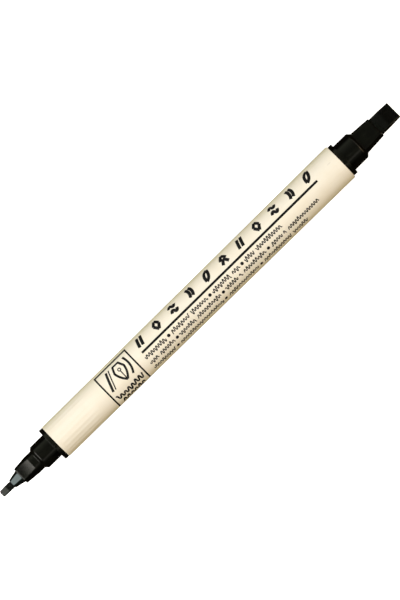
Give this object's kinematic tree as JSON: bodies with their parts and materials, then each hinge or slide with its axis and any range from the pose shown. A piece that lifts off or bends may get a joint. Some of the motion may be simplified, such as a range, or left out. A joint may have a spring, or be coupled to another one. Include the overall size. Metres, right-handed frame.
{
  "type": "calligraphy marker",
  "caption": "Double-ended calligraphy marker, caps off: tapered round barrel with a broad square chisel nib at one end and a fine chisel nib at the other.",
  "frame": {"origin": "middle of the overall length, on the pen's axis", "axes": "+X along the pen, towards the broad nib; +Z square to the writing faces of both nibs"},
  "size_m": [0.1426, 0.0108, 0.0108],
  "materials": {
    "cream_barrel": "satin moulded polypropylene",
    "black_moulding": "smooth moulded polypropylene",
    "nib_fibre": "pressed fibre soaked in black ink",
    "ink_fibre": "bundled fibre soaked in black ink",
    "clear_film": "thin translucent film",
    "barrel_print": "screen-printed black ink"
  },
  "bodies": {
    "root": {"barrel": "cream_barrel", "fine_nib_holder": "black_moulding", "fine_nib_collar": "black_moulding", "fine_nib": "nib_fibre", "broad_nib_holder": "black_moulding", "broad_nib": "nib_fibre", "ink_reservoir": "ink_fibre", "reservoir_wrap": "clear_film"}
  },
  "joints": []
}
